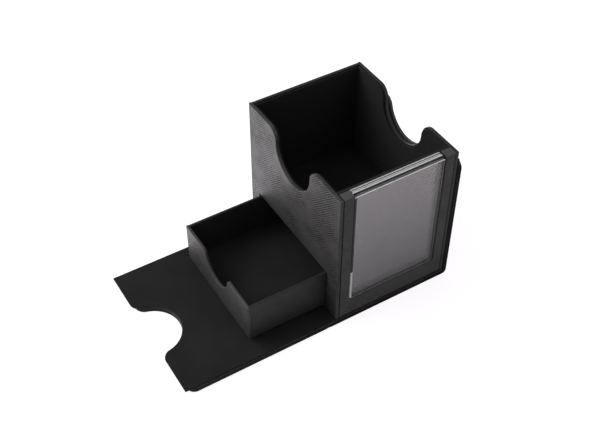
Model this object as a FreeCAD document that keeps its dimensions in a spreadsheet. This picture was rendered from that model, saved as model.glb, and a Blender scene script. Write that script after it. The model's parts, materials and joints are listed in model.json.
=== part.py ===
import FreeCAD, Part
import os
import re
import Sketcher

# A playing card box: an open tower for a deck, with a drawer under the deck, standing
# on a wrap cover whose left panel lies flat as a flap and whose right panel stands up.
#
# Frame: X across the tower from the flap to the standing leg, Y from the window face to
# the back wall, Z up. The origin is the middle of the tower's footprint, at the underside
# of the cover. The drawer is shown pulled out over the flap.

# alias, millimetres, what it sizes
SIZES = [
    ("tower_width", 91.0, "outside, left wall to right wall"),
    ("tower_depth", 114.0, "outside, window face to back wall"),
    ("tower_height", 111.0, "from the tower's underside to its rim"),
    ("wall_board", 2.5, "covered board of the side and back walls"),
    ("front_wall_board", 1.8, "board behind the card window"),
    ("lining", 1.5, "boards faced with microfibre that line the card compartment"),
    ("lining_gap", 1.0, "rim of covered board left bare above the lining"),
    ("edge_round", 0.6, "rounding where the leatherette turns over a board's edge"),
    ("notch_radius", 21.0, "finger notch in the tower's side walls"),
    ("notch_drop", 9.5, "centre of that notch below the rim"),
    ("notch_lip", 9.0, "rounding of the notch's lips"),
    ("frame_depth", 7.0, "thickness of the frame round the card window"),
    ("holder_width", 70.4, "clear card holder, across"),
    ("holder_height", 96.4, "clear card holder, down from the rim"),
    ("holder_front", 2.3, "front sheet of the holder"),
    ("holder_sheet", 1.0, "back sheet of the holder"),
    ("holder_middle", 2.4, "middle sheet of the holder"),
    ("holder_slot", 0.6, "gap on each side of the middle sheet, for a card"),
    ("holder_rim", 1.6, "welded rim at the holder's sides and foot"),
    ("sheet_round", 0.35, "rounding of the front sheet's outer edges"),
    ("base_board", 2.4, "floor of the drawer bay"),
    ("bay_width", 90.6, "drawer bay, along the depth of the tower"),
    ("bay_height", 33.1, "drawer bay, floor to ceiling"),
    ("floor_board", 2.5, "board between the drawer and the cards"),
    ("guide_board", 3.8, "boards that guide the drawer's sides"),
    ("drawer_side_clearance", 1.0, "drawer to guide board, each side"),
    ("drawer_lift", 0.3, "drawer to bay floor"),
    ("drawer_top_clearance", 1.0, "drawer rim to bay ceiling"),
    ("drawer_end_clearance", 0.5, "drawer to right wall, pushed in"),
    ("drawer_board", 2.0, "covered board of the drawer"),
    ("drawer_lining", 0.5, "microfibre lining of the drawer"),
    ("drawer_out", 60.0, "how far the drawer is pulled out"),
    ("drawer_notch_radius", 15.2, "finger notch in the drawer's end wall"),
    ("drawer_notch_drop", 1.5, "centre of that notch below the drawer's rim"),
    ("drawer_notch_lip", 4.0, "rounding of that notch's lips"),
    ("outer_board", 4.0, "covered board of the cover's base and flap"),
    ("leg_outer", 2.2, "covered board of the standing leg"),
    ("inner_board", 1.2, "lined board laid on the cover's inside"),
    ("cover_margin", 0.8, "outer board beyond the inner board, front and back"),
    ("side_gap", 0.2, "tower's side wall to the panel beside it"),
    ("cover_play", 3.0, "spare width of the cover on the flap's side"),
    ("flap_length", 109.2, "flap, hinge line to free end"),
    ("leg_length", 107.45, "standing leg, hinge line to free end"),
    ("end_inset", 3.0, "outer board short of the inner board at the free end"),
    ("end_corner", 6.0, "corner radius of the outer board's free end"),
    ("panel_notch_drop", 2.6, "centre of a panel's notch short of its free end"),
    ("panel_notch_lip", 8.0, "rounding of a panel's notch lips"),
    ("panel_notch_step", 0.6, "inner board's notch back from the outer board's"),
    ("skin", 0.8, "leatherette bridging a hinge"),
    ("hinge_lining", 0.5, "microfibre bridging the flap's hinge"),
    ("magnet_radius", 5.0, "disc magnets in walls and panels"),
    ("magnet_height", 1.5, "thickness of a disc magnet"),
    ("magnet_fit", 0.1, "room round a magnet in its pocket"),
    ("magnet_level", 88.0, "magnet centres above the tower's underside"),
    ("magnet_offset", 44.0, "magnet centres from the middle of the depth"),
]

document = FreeCAD.newDocument("card_box")
sheet = document.addObject("Spreadsheet::Sheet", "Sizes")
for row, (alias, size, meaning) in enumerate(SIZES, start=1):
    sheet.set(f"A{row}", alias)
    sheet.set(f"B{row}", str(size))
    sheet.set(f"C{row}", meaning)
    sheet.setAlias(f"B{row}", alias)
document.recompute()

ALIAS = re.compile(r"\b(" + "|".join(entry[0] for entry in SIZES) + r")\b")
TOUCH = 1e-6
sub_parts = []

# Places that several pieces share, as formulas of the sheet.
LEFT = "(-tower_width / 2)"
RIGHT = "(tower_width / 2)"
FRONT = "(-tower_depth / 2)"
BACK = "(tower_depth / 2)"
COVER = "(outer_board + inner_board)"
LEG = "(leg_outer + inner_board)"
FOOT = COVER
BAY_FLOOR = f"({FOOT} + base_board)"
DECK_FLOOR = f"({BAY_FLOOR} + bay_height + floor_board)"
RIM = f"({FOOT} + tower_height)"
INSIDE_FRONT = f"({FRONT} + frame_depth + front_wall_board)"
INSIDE_BACK = f"({BACK} - wall_board)"
INSIDE_WIDTH = "(tower_width - 2 * wall_board)"
INSIDE_DEPTH = f"({INSIDE_BACK} - {INSIDE_FRONT})"
BAY_FRONT = f"({INSIDE_FRONT} + guide_board)"
DRAWER_MIDDLE = f"({BAY_FRONT} + bay_width / 2)"
DRAWER_LEFT = f"({LEFT} - drawer_out)"
DRAWER_FOOT = f"({BAY_FLOOR} + drawer_lift)"
DRAWER_WIDTH = "(bay_width - 2 * drawer_side_clearance)"
DRAWER_HEIGHT = "(bay_height - drawer_lift - drawer_top_clearance)"
DRAWER_LENGTH = "(tower_width - wall_board - drawer_end_clearance)"
COVER_LEFT = f"({LEFT} - side_gap - cover_play)"
COVER_RIGHT = f"({RIGHT} + side_gap)"
COVER_DEPTH = "(tower_depth + 2 * cover_margin)"

# How an upright panel, drawn with its outer face on its own YZ plane and its
# thickness along its own +X, is turned into place.
FACING_LEFT = FreeCAD.Rotation()
FACING_RIGHT = FreeCAD.Rotation(FreeCAD.Vector(0, 0, 1), 180)
FACING_FRONT = FreeCAD.Rotation(FreeCAD.Vector(0, 0, 1), 90)
FACING_BACK = FreeCAD.Rotation(FreeCAD.Vector(0, 0, 1), -90)
LYING_LEFT = FreeCAD.Rotation(FreeCAD.Vector(0, 1, 0), -90)


def bind(item, prop, formula):
    """Ties a property to a formula of the sheet's aliases."""
    item.setExpression(prop, ALIAS.sub(r"Sizes.\g<0>", formula))


def place(item, base, turn=FreeCAD.Rotation()):
    item.Placement = FreeCAD.Placement(FreeCAD.Vector(), turn)
    for axis, formula in zip("xyz", base):
        bind(item, f"Placement.Base.{axis}", formula)


def sketch_on(body, role, name, offset):
    """An empty sketch on one of the body's own planes, moved by offset in the sketch's axes."""
    sketch = body.newObject("Sketcher::SketchObject", name)
    plane = next(item for item in body.Origin.OriginFeatures if item.Role == role)
    sketch.AttachmentSupport = [(plane, "")]
    sketch.MapMode = "FlatFace"
    for axis, formula in zip("xyz", offset):
        bind(sketch, f"AttachmentOffset.Base.{axis}", formula)
    return sketch


def draw_rectangle(body, role, name, across, high, offset):
    """A rectangle with its middle at offset."""
    sketch = sketch_on(body, role, name, offset)
    corners = [FreeCAD.Vector(x, y, 0) for x, y in ((-9, -9), (9, -9), (9, 9), (-9, 9))]
    for index in range(4):
        sketch.addGeometry(Part.LineSegment(corners[index], corners[(index + 1) % 4]))
    for index in range(4):
        sketch.addConstraint(Sketcher.Constraint("Coincident", index, 2, (index + 1) % 4, 1))
    for index, direction in enumerate(("Horizontal", "Vertical", "Horizontal", "Vertical")):
        sketch.addConstraint(Sketcher.Constraint(direction, index))
    sketch.addConstraint(Sketcher.Constraint("Symmetric", 0, 1, 1, 2, -1, 1))
    spans = [("across", "DistanceX", 0, across), ("high", "DistanceY", 1, high)]
    for title, kind, line, formula in spans:
        index = sketch.addConstraint(Sketcher.Constraint(kind, line, 1, line, 2, 18))
        sketch.renameConstraint(index, title)
        bind(sketch, f"Constraints.{title}", formula)
    return sketch


def draw_circle(body, role, name, radius, offset):
    """A circle with its centre at offset."""
    sketch = sketch_on(body, role, name, offset)
    sketch.addGeometry(Part.Circle(FreeCAD.Vector(), FreeCAD.Vector(0, 0, 1), 3))
    sketch.addConstraint(Sketcher.Constraint("Coincident", 0, 3, -1, 1))
    index = sketch.addConstraint(Sketcher.Constraint("Radius", 0, 3))
    sketch.renameConstraint(index, "radius")
    bind(sketch, "Constraints.radius", radius)
    return sketch


def new_body(label):
    body = document.addObject("PartDesign::Body", label)
    body.Label = label
    sub_parts.append(body)
    return body


def pad(body, sketch, length):
    feature = body.newObject("PartDesign::Pad", "Pad")
    feature.Profile = sketch
    bind(feature, "Length", length)
    document.recompute()
    return feature


def pocket(body, sketch, depth=None):
    """Cuts the sketch out, right through both ways unless a depth is given."""
    before = body.Shape.Volume
    feature = body.newObject("PartDesign::Pocket", "Pocket")
    feature.Profile = sketch
    if depth is None:
        feature.Type = "ThroughAll"
        feature.SideType = "Symmetric"
    else:
        bind(feature, "Length", depth)
    document.recompute()
    if body.Shape.Volume >= before:
        raise RuntimeError(f"{body.Label}: {sketch.Label} cuts nothing")
    return feature


def round_edges(body, wanted, radius):
    """Rounds the edges of the body's last feature that wanted picks."""
    base = body.Tip
    names = [f"Edge{i}" for i, edge in enumerate(base.Shape.Edges, start=1) if wanted(edge)]
    if not names:
        raise RuntimeError(f"{body.Label}: no edge to round")
    feature = body.newObject("PartDesign::Fillet", "Fillet")
    feature.Base = (base, names)
    bind(feature, "Radius", radius)
    document.recompute()
    return feature


def runs_through(edge):
    """True for an edge along the panel's thickness."""
    box = edge.BoundBox
    return box.YLength < TOUCH and box.ZLength < TOUCH


def on_outer_face(edge):
    return edge.BoundBox.XMax < TOUCH


def panel(label, width, height, thickness, shift="0"):
    """An upright board: outer face on its YZ plane, foot at z = 0, middle at y = shift."""
    body = new_body(label)
    outline = draw_rectangle(body, "YZ_Plane", "Outline", width, height,
                             (shift, f"{height} / 2", "0"))
    pad(body, outline, thickness)
    return body


def cut_notch(body, height, radius, drop, lip):
    """A round finger notch in the panel's top edge, with rounded lips."""
    circle = draw_circle(body, "YZ_Plane", "Notch", radius, ("0", f"{height} - ({drop})", "0"))
    side = body.Shape.BoundBox.YLength / 2
    middle = body.Shape.BoundBox.Center.y
    top = body.Shape.BoundBox.ZMax
    pocket(body, circle)

    def is_lip(edge):
        centre = edge.BoundBox.Center
        return runs_through(edge) and top - centre.z < TOUCH and abs(centre.y - middle) < side - TOUCH

    round_edges(body, is_lip, lip)


def cut_magnet_pockets(body, thickness, level="magnet_level"):
    """Two blind pockets in the panel's inner face."""
    for side in ("-", ""):
        hole = draw_circle(body, "YZ_Plane", "MagnetPocket", "magnet_radius + magnet_fit",
                           (f"{side}magnet_offset", level, thickness))
        pocket(body, hole, "magnet_height + magnet_fit")


def board(label, low, size):
    """A plain square-edged board, from its low corner and its three sides."""
    box = document.addObject("Part::Box", label)
    box.Label = label
    for prop, formula in zip(("Length", "Width", "Height"), size):
        bind(box, prop, formula)
    place(box, low)
    sub_parts.append(box)
    return box


def magnet_pair(label, x, z, turn):
    """Two disc magnets, one each side of the middle; x and z place their lower faces."""
    discs = []
    for side in ("-", ""):
        disc = document.addObject("Part::Cylinder", f"{label}_disc")
        bind(disc, "Radius", "magnet_radius")
        bind(disc, "Height", "magnet_height")
        place(disc, (x, f"{side}magnet_offset", z), turn)
        discs.append(disc)
    pair = document.addObject("Part::Compound", label)
    pair.Label = label
    pair.Links = discs
    sub_parts.append(pair)


# The tower's shell

def tower_side(label, turn, x, has_drawer_opening):
    side = panel(label, "tower_depth", "tower_height", "wall_board")
    cut_notch(side, "tower_height", "notch_radius", "notch_drop", "notch_lip")
    round_edges(side, on_outer_face, "edge_round")
    if has_drawer_opening:
        opening = draw_rectangle(side, "YZ_Plane", "DrawerOpening", "bay_width", "bay_height",
                                 (DRAWER_MIDDLE, "base_board + bay_height / 2", "0"))
        pocket(side, opening)
    cut_magnet_pockets(side, "wall_board")
    place(side, (x, "0", FOOT), turn)


tower_side("tower_left_wall", FACING_LEFT, LEFT, True)
tower_side("tower_right_wall", FACING_RIGHT, RIGHT, False)

back_wall = panel("tower_back_wall", INSIDE_WIDTH, "tower_height", "wall_board")
round_edges(back_wall, lambda edge: on_outer_face(edge) and edge.BoundBox.ZLength < TOUCH, "edge_round")
place(back_wall, ("0", BACK, FOOT), FACING_BACK)

front_wall = panel("tower_front_wall", INSIDE_WIDTH, "tower_height", "front_wall_board")
place(front_wall, ("0", f"{FRONT} + frame_depth", FOOT), FACING_FRONT)

board("tower_base_board", (f"{LEFT} + wall_board", INSIDE_FRONT, FOOT),
      (INSIDE_WIDTH, INSIDE_DEPTH, "base_board"))
board("compartment_floor", (f"{LEFT} + wall_board", INSIDE_FRONT, f"{BAY_FLOOR} + bay_height"),
      (INSIDE_WIDTH, INSIDE_DEPTH, "floor_board"))
board("bay_front_guide", (f"{LEFT} + wall_board", INSIDE_FRONT, BAY_FLOOR),
      (INSIDE_WIDTH, "guide_board", "bay_height"))
board("bay_back_guide", (f"{LEFT} + wall_board", f"{BAY_FRONT} + bay_width", BAY_FLOOR),
      (INSIDE_WIDTH, "guide_board", "bay_height"))


# The card window: a U-shaped frame, open at the rim, round a clear holder

def cut_from_top(body, height, across, depth):
    """Takes a rectangle out of the middle of the panel's top edge."""
    window = draw_rectangle(body, "YZ_Plane", "Window", across, depth,
                            ("0", f"{height} - ({depth}) / 2", "0"))
    pocket(body, window)


window_frame = panel("window_frame", INSIDE_WIDTH, "tower_height", "frame_depth")
cut_from_top(window_frame, "tower_height", "holder_width", "holder_height")
round_edges(window_frame, on_outer_face, "edge_round")
place(window_frame, ("0", FRONT, FOOT), FACING_FRONT)


HOLDER_FOOT = f"({RIM} - holder_height)"
HOLDER_BACK = f"({FRONT} + frame_depth)"
MIDDLE_BACK = f"({HOLDER_BACK} - holder_sheet - holder_slot)"
MIDDLE_FRONT = f"({MIDDLE_BACK} - holder_middle)"
HOLDER_FRONT = f"({MIDDLE_FRONT} - holder_slot - holder_front)"

for sheet_label, y, thickness in (("holder_back_sheet", f"{HOLDER_BACK} - holder_sheet", "holder_sheet"),
                                  ("holder_middle_sheet", MIDDLE_FRONT, "holder_middle")):
    board(sheet_label, ("-holder_width / 2", y, HOLDER_FOOT), ("holder_width", thickness, "holder_height"))

front_sheet = panel("holder_front_sheet", "holder_width", "holder_height", "holder_front")
round_edges(front_sheet, on_outer_face, "sheet_round")
place(front_sheet, ("0", HOLDER_FRONT, HOLDER_FOOT), FACING_FRONT)

for rim_label, y in (("holder_rim", f"{MIDDLE_FRONT} - holder_slot"), ("holder_back_rim", MIDDLE_BACK)):
    rim = panel(rim_label, "holder_width", "holder_height", "holder_slot")
    cut_from_top(rim, "holder_height", "holder_width - 2 * holder_rim", "holder_height - holder_rim")
    place(rim, ("0", y, HOLDER_FOOT), FACING_FRONT)


# The card compartment's lining

LINING_HEIGHT = f"({RIM} - lining_gap - {DECK_FLOOR})"
LINING_SHIFT = f"(({INSIDE_FRONT} + {INSIDE_BACK}) / 2)"
for lining_label, turn, x, shift in (
        ("lining_left", FACING_LEFT, f"{LEFT} + wall_board", LINING_SHIFT),
        ("lining_right", FACING_RIGHT, f"{RIGHT} - wall_board", f"-{LINING_SHIFT}")):
    side_lining = panel(lining_label, INSIDE_DEPTH, LINING_HEIGHT, "lining", shift)
    cut_notch(side_lining, LINING_HEIGHT, "notch_radius + lining_gap", "notch_drop - lining_gap",
              "notch_lip - lining_gap")
    place(side_lining, (x, "0", DECK_FLOOR), turn)

LINED_LEFT = f"({LEFT} + wall_board + lining)"
LINED_WIDTH = f"({INSIDE_WIDTH} - 2 * lining)"
board("lining_front", (LINED_LEFT, INSIDE_FRONT, DECK_FLOOR), (LINED_WIDTH, "lining", LINING_HEIGHT))
board("lining_back", (LINED_LEFT, f"{INSIDE_BACK} - lining", DECK_FLOOR),
      (LINED_WIDTH, "lining", LINING_HEIGHT))
board("lining_floor", (LINED_LEFT, f"{INSIDE_FRONT} + lining", DECK_FLOOR),
      (LINED_WIDTH, f"{INSIDE_DEPTH} - 2 * lining", "lining"))


# The drawer

end_wall = panel("drawer_end_wall", DRAWER_WIDTH, DRAWER_HEIGHT, "drawer_board")
cut_notch(end_wall, DRAWER_HEIGHT, "drawer_notch_radius", "drawer_notch_drop", "drawer_notch_lip")
round_edges(end_wall, on_outer_face, "edge_round")
place(end_wall, (DRAWER_LEFT, DRAWER_MIDDLE, DRAWER_FOOT))

rear_wall = panel("drawer_rear_wall", DRAWER_WIDTH, DRAWER_HEIGHT, "drawer_board")
round_edges(rear_wall, on_outer_face, "edge_round")
place(rear_wall, (f"{DRAWER_LEFT} + {DRAWER_LENGTH}", DRAWER_MIDDLE, DRAWER_FOOT), FACING_RIGHT)

TRAY_LEFT = f"({DRAWER_LEFT} + drawer_board)"
TRAY_LENGTH = f"({DRAWER_LENGTH} - 2 * drawer_board)"
TRAY_WIDTH = f"({DRAWER_WIDTH} - 2 * drawer_board)"
TRAY_FRONT = f"({DRAWER_MIDDLE} - {TRAY_WIDTH} / 2)"
DRAWER_SIDES = (("drawer_front_side", f"{DRAWER_MIDDLE} - {DRAWER_WIDTH} / 2", FACING_FRONT),
                ("drawer_back_side", f"{DRAWER_MIDDLE} + {DRAWER_WIDTH} / 2", FACING_BACK))
for side_label, y, turn in DRAWER_SIDES:
    drawer_side = panel(side_label, TRAY_LENGTH, DRAWER_HEIGHT, "drawer_board")
    round_edges(drawer_side, lambda edge: on_outer_face(edge) and edge.BoundBox.ZLength < TOUCH,
                "edge_round")
    place(drawer_side, (f"{TRAY_LEFT} + {TRAY_LENGTH} / 2", y, DRAWER_FOOT), turn)

board("drawer_floor", (TRAY_LEFT, TRAY_FRONT, DRAWER_FOOT), (TRAY_LENGTH, TRAY_WIDTH, "drawer_board"))
board("drawer_floor_lining", (f"{TRAY_LEFT} + drawer_lining", f"{TRAY_FRONT} + drawer_lining",
                              f"{DRAWER_FOOT} + drawer_board"),
      (f"{TRAY_LENGTH} - 2 * drawer_lining", f"{TRAY_WIDTH} - 2 * drawer_lining", "drawer_lining"))

TRAY_LINING_HEIGHT = f"({DRAWER_HEIGHT} - drawer_board - lining_gap)"
wall_lining = new_body("drawer_wall_lining")
outside = draw_rectangle(wall_lining, "XY_Plane", "Outside", TRAY_LENGTH, TRAY_WIDTH,
                         (f"{TRAY_LENGTH} / 2", "0", "0"))
pad(wall_lining, outside, TRAY_LINING_HEIGHT)
inside = draw_rectangle(wall_lining, "XY_Plane", "Inside", f"{TRAY_LENGTH} - 2 * drawer_lining",
                        f"{TRAY_WIDTH} - 2 * drawer_lining", (f"{TRAY_LENGTH} / 2", "0", "0"))
pocket(wall_lining, inside)
lining_notch = draw_circle(wall_lining, "YZ_Plane", "Notch", "drawer_notch_radius + lining_gap",
                           ("0", f"{TRAY_LINING_HEIGHT} - (drawer_notch_drop - lining_gap)",
                            "2 * drawer_lining"))
pocket(wall_lining, lining_notch, "2 * drawer_lining")
place(wall_lining, (TRAY_LEFT, DRAWER_MIDDLE, f"{DRAWER_FOOT} + drawer_board"))


# The wrap cover: a base under the tower, and two notched panels on living hinges

base = panel("cover_base_board", COVER_DEPTH, f"({COVER_RIGHT} - {COVER_LEFT})", "outer_board")
round_edges(base, lambda edge: on_outer_face(edge) and edge.BoundBox.YLength < TOUCH, "edge_round")
place(base, (COVER_RIGHT, "0", "0"), LYING_LEFT)
board("cover_base_lining", (COVER_LEFT, FRONT, "outer_board"),
      (f"{COVER_RIGHT} - {COVER_LEFT}", "tower_depth", "inner_board"))


def cover_panel(name, turn, length, thickness, feet, bases):
    """One swinging panel: a covered outer board and a thinner lined board on its inside.

    feet says how far from the hinge line the two boards start, bases where their feet are.
    """
    outer_foot, inner_foot = feet
    outer_base, inner_base = bases
    outer_height = f"({length} - {outer_foot} - end_inset)"
    inner_height = f"({length} - {inner_foot})"
    outer = panel(f"{name}_board", COVER_DEPTH, outer_height, thickness)
    cut_notch(outer, outer_height, "notch_radius", "panel_notch_drop - end_inset", "panel_notch_lip")
    top = outer.Shape.BoundBox.ZMax
    side = outer.Shape.BoundBox.YMax

    def is_corner(edge):
        centre = edge.BoundBox.Center
        return runs_through(edge) and top - centre.z < TOUCH and side - abs(centre.y) < TOUCH

    round_edges(outer, is_corner, "end_corner")
    round_edges(outer, lambda edge: on_outer_face(edge) and edge.BoundBox.ZMax > TOUCH, "edge_round")
    cut_magnet_pockets(outer, thickness, f"magnet_level + {inner_foot} - {outer_foot}")
    place(outer, outer_base, turn)
    inner = panel(f"{name}_lining", "tower_depth", inner_height, "inner_board")
    cut_notch(inner, inner_height, "notch_radius + panel_notch_step", "panel_notch_drop",
              "panel_notch_lip - panel_notch_step")
    place(inner, inner_base, turn)


FLAP_START = f"({COVER_LEFT} - {COVER})"
LEG_OUTSIDE = f"({COVER_RIGHT} + {LEG})"
cover_panel("flap", LYING_LEFT, "flap_length", "outer_board", (f"{COVER} / 2", f"{COVER} / 2"),
            ((FLAP_START, "0", "0"), (FLAP_START, "0", "outer_board")))
cover_panel("leg", FACING_RIGHT, "leg_length", "leg_outer", (f"{LEG} / 2", f"({COVER} - {LEG} / 2)"),
            ((LEG_OUTSIDE, "0", LEG), (f"{LEG_OUTSIDE} - leg_outer", "0", COVER)))

board("flap_hinge_skin", (FLAP_START, f"-{COVER_DEPTH} / 2", "0"), (COVER, COVER_DEPTH, "skin"))
board("flap_hinge_lining", (FLAP_START, FRONT, f"{COVER} - hinge_lining"),
      (COVER, "tower_depth", "hinge_lining"))


def quarter_round(name, radius):
    """A quarter of a cylinder under the leg's foot, along the depth of the cover."""
    rod = document.addObject("Part::Cylinder", name)
    bind(rod, "Radius", radius)
    bind(rod, "Height", COVER_DEPTH)
    rod.Angle = 90
    place(rod, (COVER_RIGHT, f"-{COVER_DEPTH} / 2", LEG), FreeCAD.Rotation(FreeCAD.Vector(1, 0, 0), -90))
    return rod


leg_hinge = document.addObject("Part::Cut", "leg_hinge_skin")
leg_hinge.Label = "leg_hinge_skin"
leg_hinge.Base = quarter_round("leg_hinge_outside", LEG)
leg_hinge.Tool = quarter_round("leg_hinge_inside", f"{LEG} - skin")
sub_parts.append(leg_hinge)


# The magnets that hold the panels to the tower

STANDING = FreeCAD.Rotation(FreeCAD.Vector(0, 1, 0), 90)
LYING = FreeCAD.Rotation()
MAGNET_LEVEL = f"({FOOT} + magnet_level)"
magnet_pair("tower_left_magnets", f"{LEFT} + wall_board - magnet_height", MAGNET_LEVEL, STANDING)
magnet_pair("tower_right_magnets", f"{RIGHT} - wall_board", MAGNET_LEVEL, STANDING)
magnet_pair("leg_magnets", f"{COVER_RIGHT} + inner_board", MAGNET_LEVEL, STANDING)
magnet_pair("flap_magnets", f"{FLAP_START} - magnet_level", "outer_board - magnet_height", LYING)

document.recompute()

for item in document.Objects:
    if "Invalid" in item.State or "Error" in item.State:
        raise RuntimeError(f"{item.Label} failed: {item.State}")
for sub_part in sub_parts:
    if sub_part.Shape.isNull() or not sub_part.Shape.isValid():
        raise RuntimeError(f"{sub_part.Label} has no valid shape")

os.makedirs("parts", exist_ok=True)
for sub_part in sub_parts:
    sub_part.Shape.exportStep(f"parts/{sub_part.Label}.step")
print(f"{len(sub_parts)} sub-parts written")
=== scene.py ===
import json
import math

import bmesh
import bpy
from mathutils import Matrix, Vector


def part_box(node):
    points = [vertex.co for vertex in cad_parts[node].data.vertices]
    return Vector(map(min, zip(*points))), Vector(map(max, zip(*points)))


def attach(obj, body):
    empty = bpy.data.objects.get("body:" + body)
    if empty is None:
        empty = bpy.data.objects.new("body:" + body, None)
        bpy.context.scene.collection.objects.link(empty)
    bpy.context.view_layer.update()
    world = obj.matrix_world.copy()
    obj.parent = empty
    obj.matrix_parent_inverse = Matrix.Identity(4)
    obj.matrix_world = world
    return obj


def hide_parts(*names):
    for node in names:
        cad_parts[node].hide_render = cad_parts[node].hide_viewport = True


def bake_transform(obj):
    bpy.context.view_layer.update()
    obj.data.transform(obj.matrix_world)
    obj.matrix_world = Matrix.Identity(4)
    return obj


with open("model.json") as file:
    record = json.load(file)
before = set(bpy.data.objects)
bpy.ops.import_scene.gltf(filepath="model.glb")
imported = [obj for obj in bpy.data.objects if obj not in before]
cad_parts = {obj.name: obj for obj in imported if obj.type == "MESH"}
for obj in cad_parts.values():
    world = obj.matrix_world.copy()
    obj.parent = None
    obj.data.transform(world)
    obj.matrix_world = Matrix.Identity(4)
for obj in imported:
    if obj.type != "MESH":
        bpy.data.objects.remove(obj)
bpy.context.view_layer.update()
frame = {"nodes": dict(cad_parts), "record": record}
scene = bpy.context.scene
mm = 0.001
bodyOf = {node: body for body, nodes in frame["record"]["behaviour"]["bodies"].items()
          for node in nodes}
print("frame loaded:", len(frame["nodes"]), "nodes")


# ---- camera, light and floor

cameraView = {
    "place": (-0.2946, -0.4135, 0.5357),
    "looksAlong": (0.3679, 0.6055, -0.7058),
    "lens": 60.66,  # mm, on a sensor 36 mm wide
    "sensor": 36.0,
    "nearest": 0.01,
}

studio = {
    "floorSize": 3.0,
    "floorDrop": 0.15 * mm,
    "floorColour": (0.45, 0.45, 0.45, 1),
    "floorGlow": 0.85,
    "floorTint": (1.0, 0.965, 1.0, 1),
    "floorMirrored": 0.19,  # close in front of the object
    "floorRamps": (  # direction, where the mirrored level starts to change and ends, level there: painted reflection, a glow only reflections see
        ((0, -1, 0), 0.08, 0.155, 0.46),
        ((-0.6, 0.8, 0), -0.03, 0.09, 1.62),
    ),
    "skySeen": 1.0,
    "sky": 0.34,
    "skyMirrored": (0.0, 0.5, 1.2, 0.25),  # between these heights of the ray, these levels
    "aim": (-0.03, 0, 0.04),
    "lamps": {  # name: place, size, watts; all point at the object
        "keyLamp": ((-0.75, 0.55, 0.85), 0.9, 9.0),
        "fillLamp": ((0.65, -0.75, 1.0), 1.0, 1.3),
        "topLamp": ((0.0, 0.1, 1.3), 1.0, 1.2),
    },
}


def addCamera():
    data = bpy.data.cameras.new("camera")
    data.lens = cameraView["lens"]
    data.sensor_width = cameraView["sensor"]
    data.clip_start = cameraView["nearest"]
    camera = bpy.data.objects.new("camera", data)
    camera.location = cameraView["place"]
    camera.rotation_mode = "QUATERNION"
    camera.rotation_quaternion = Vector(cameraView["looksAlong"]).to_track_quat("-Z", "Y")
    scene.collection.objects.link(camera)
    scene.camera = camera


def addLamps():
    aim = Vector(studio["aim"])
    for name, (place, size, watts) in studio["lamps"].items():
        data = bpy.data.lights.new(name, "AREA")
        data.size = size
        data.energy = watts
        lamp = bpy.data.objects.new(name, data)
        lamp.location = place
        lamp.rotation_mode = "QUATERNION"
        lamp.rotation_quaternion = (aim - Vector(place)).to_track_quat("-Z", "Y")
        scene.collection.objects.link(lamp)


def seenLevel(nodes, links, seen, mirrored, lit=0.0):
    # seen by the camera, mirrored for mirror and glass rays, lit for the rays that light things
    path = nodes.new("ShaderNodeLightPath")
    either = nodes.new("ShaderNodeMath")
    either.operation = "MAXIMUM"
    links.new(path.outputs["Is Glossy Ray"], either.inputs[0])
    links.new(path.outputs["Is Transmission Ray"], either.inputs[1])
    level = None
    for ray, high in ((either.outputs[0], mirrored), (path.outputs["Is Camera Ray"], seen)):
        step = nodes.new("ShaderNodeMix")
        step.inputs["A"].default_value = lit
        if level is not None:
            links.new(level, step.inputs["A"])
        if isinstance(high, float):
            step.inputs["B"].default_value = high
        else:
            links.new(high, step.inputs["B"])
        links.new(ray, step.inputs["Factor"])
        level = step.outputs["Result"]
    return level


def rangeNode(tree, value, low, high, outLow=0.0, outHigh=1.0):
    node = tree.nodes.new("ShaderNodeMapRange")
    tree.links.new(value, node.inputs["Value"])
    titles = ("From Min", "From Max", "To Min", "To Max")
    for title, number in zip(titles, (low, high, outLow, outHigh)):
        node.inputs[title].default_value = number
    return node.outputs["Result"]


def mathNode(tree, operation, first, second=None):
    node = tree.nodes.new("ShaderNodeMath")
    node.operation = operation
    for socket, value in zip(node.inputs, (first, second)):
        if value is None:
            continue
        if isinstance(value, (int, float)):
            socket.default_value = value
        else:
            tree.links.new(value, socket)
    return node.outputs[0]


def addSky():
    world = bpy.data.worlds.new("studioSky")
    scene.world = world
    world.use_nodes = True
    nodes, links = world.node_tree.nodes, world.node_tree.links
    sky = nodes["Background"]
    sky.inputs["Color"].default_value = (1, 1, 1, 1)
    parts = nodes.new("ShaderNodeSeparateXYZ")
    links.new(nodes.new("ShaderNodeTexCoord").outputs["Generated"], parts.inputs["Vector"])
    mirrored = rangeNode(world.node_tree, parts.outputs["Z"], *studio["skyMirrored"])
    level = seenLevel(nodes, links, studio["skySeen"], mirrored, studio["sky"])
    links.new(level, sky.inputs["Strength"])


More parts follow.
